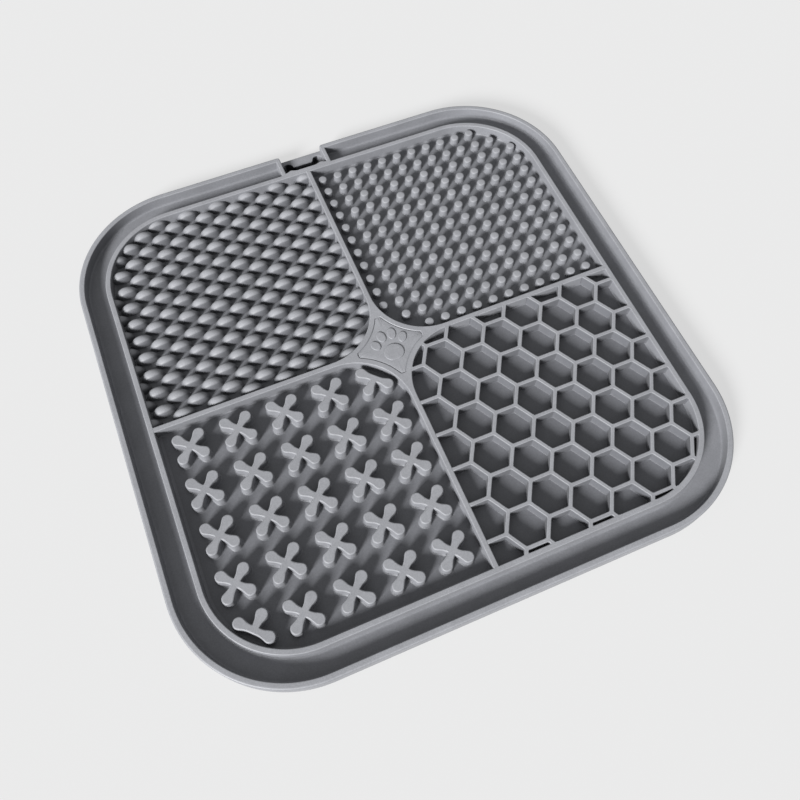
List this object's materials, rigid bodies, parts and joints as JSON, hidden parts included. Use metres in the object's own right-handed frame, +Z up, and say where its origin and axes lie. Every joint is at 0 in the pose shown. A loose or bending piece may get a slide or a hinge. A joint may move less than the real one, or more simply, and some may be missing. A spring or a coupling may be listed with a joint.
{
  "type": "lick mat",
  "caption": "Square grey silicone lick mat for a pet, with rounded corners, four fields of raised relief, a gutter round the edge and a bone-shaped hanging slot.",
  "frame": {"origin": "middle of the underside, which is flat and rests on the table", "axes": "+X right, +Y towards the edge with the hanging slot, +Z up"},
  "size_m": [0.2, 0.2, 0.0066],
  "materials": {
    "silicone": "matte"
  },
  "bodies": {
    "root": {"lick_mat": "silicone"}
  },
  "joints": []
}
